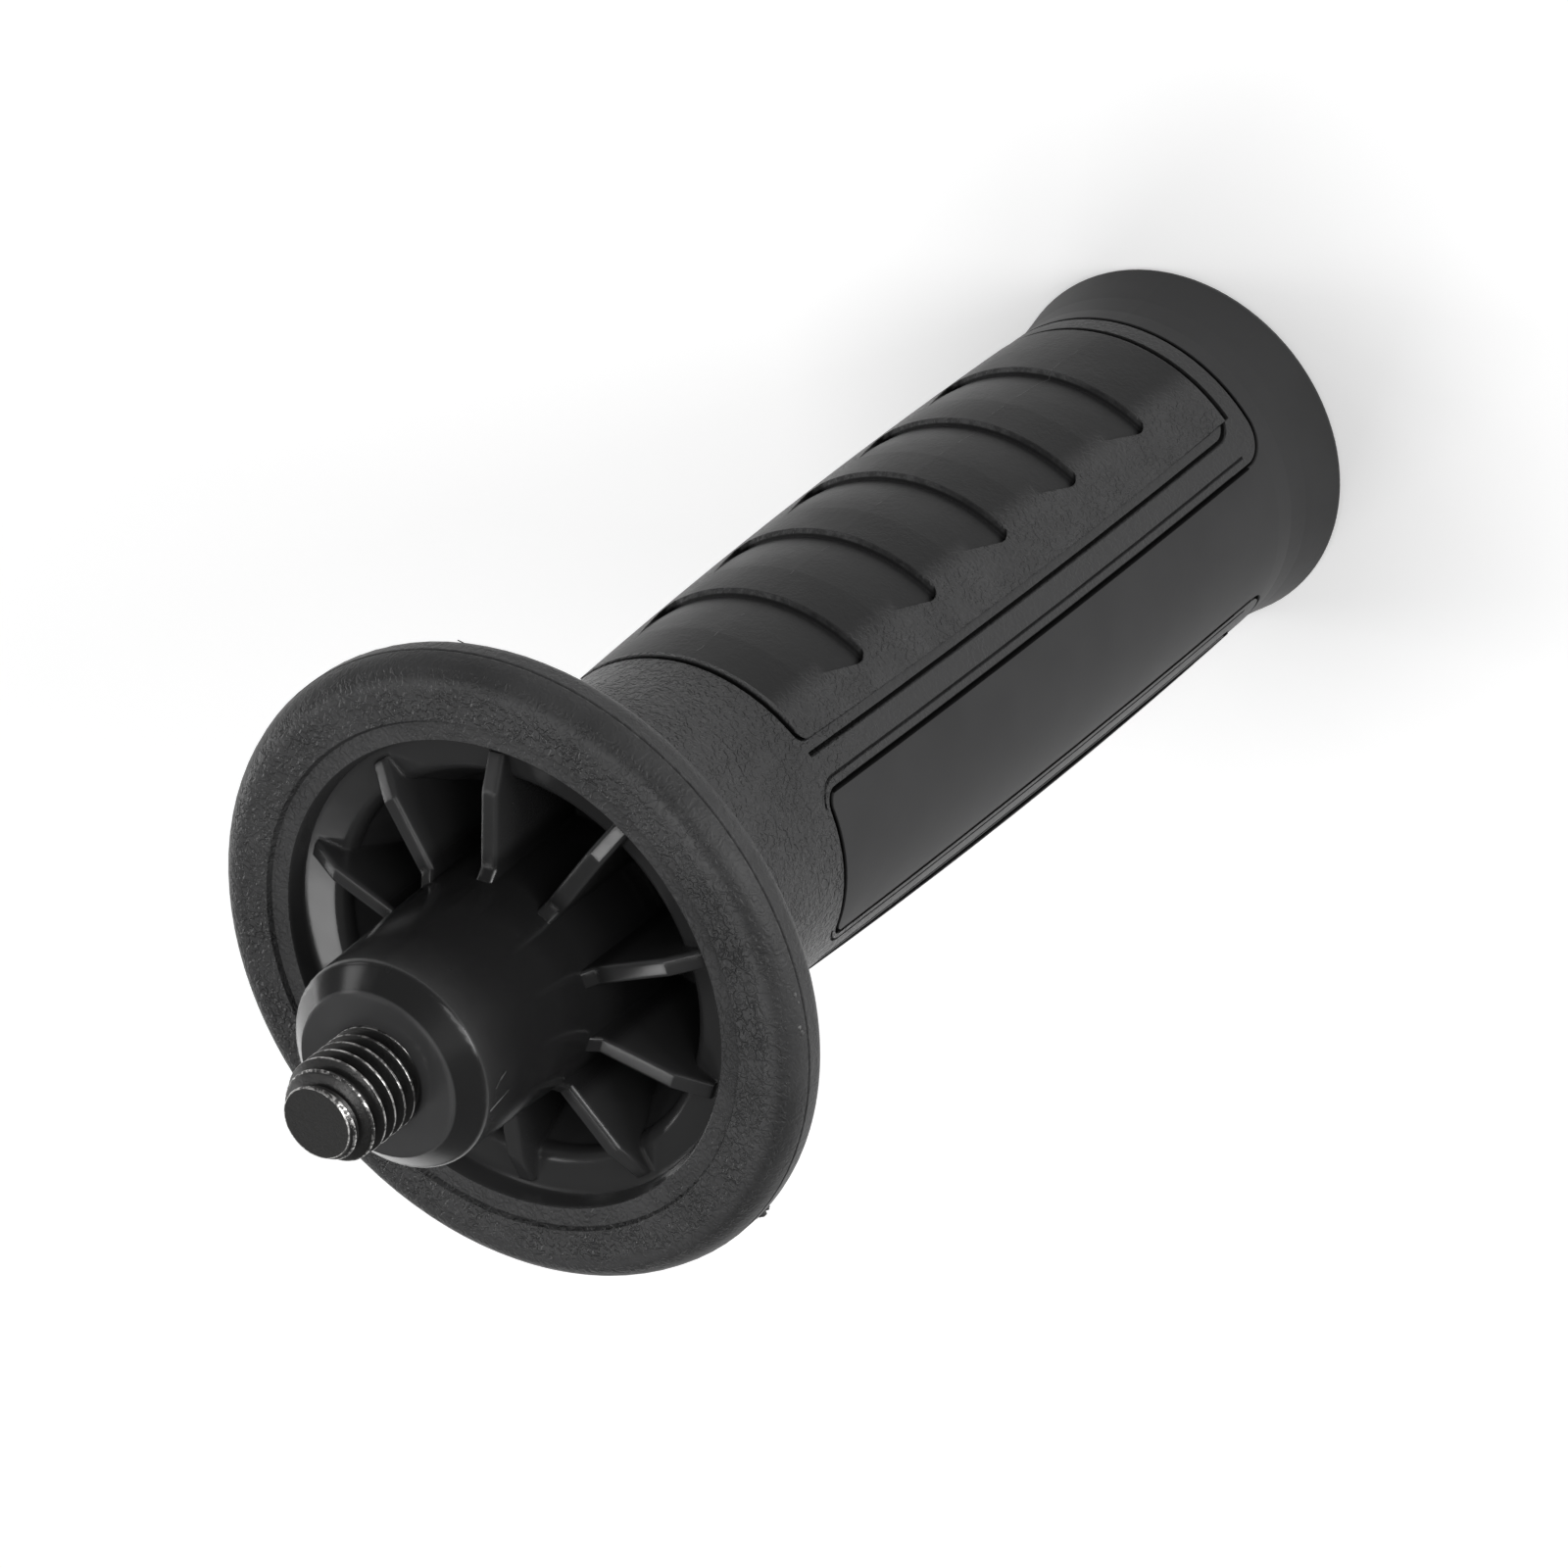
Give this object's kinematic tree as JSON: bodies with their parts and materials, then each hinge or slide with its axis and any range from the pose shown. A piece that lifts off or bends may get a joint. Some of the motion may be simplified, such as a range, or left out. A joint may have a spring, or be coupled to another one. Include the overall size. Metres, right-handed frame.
{
  "type": "angle grinder side handle",
  "caption": "Auxiliary side handle with a threaded stud, ribbed hub, round hand guard flange, grooved finger pads and a smooth flared end.",
  "frame": {"origin": "centre of the flat end face at the flared end, which is the bottom when the handle stands", "axes": "+Z runs along the handle towards the threaded stud, +X points at the middle of one finger pad"},
  "size_m": [0.0636, 0.0636, 0.1529],
  "materials": {
    "stud": "black oxide, satin, bright where the thread crests are worn",
    "body": "fine grained on the ring, the neck and the strips, glossy in the pocket and on the ribs",
    "finger_pads": "soft grip with a fine grain",
    "sleeve": "smooth soft grip, satin"
  },
  "bodies": {
    "root": {"threaded_stud": "stud", "handle_body": "body", "finger_pad_top": "finger_pads", "finger_pad_bottom": "finger_pads", "grip_sleeve": "sleeve"}
  },
  "joints": []
}
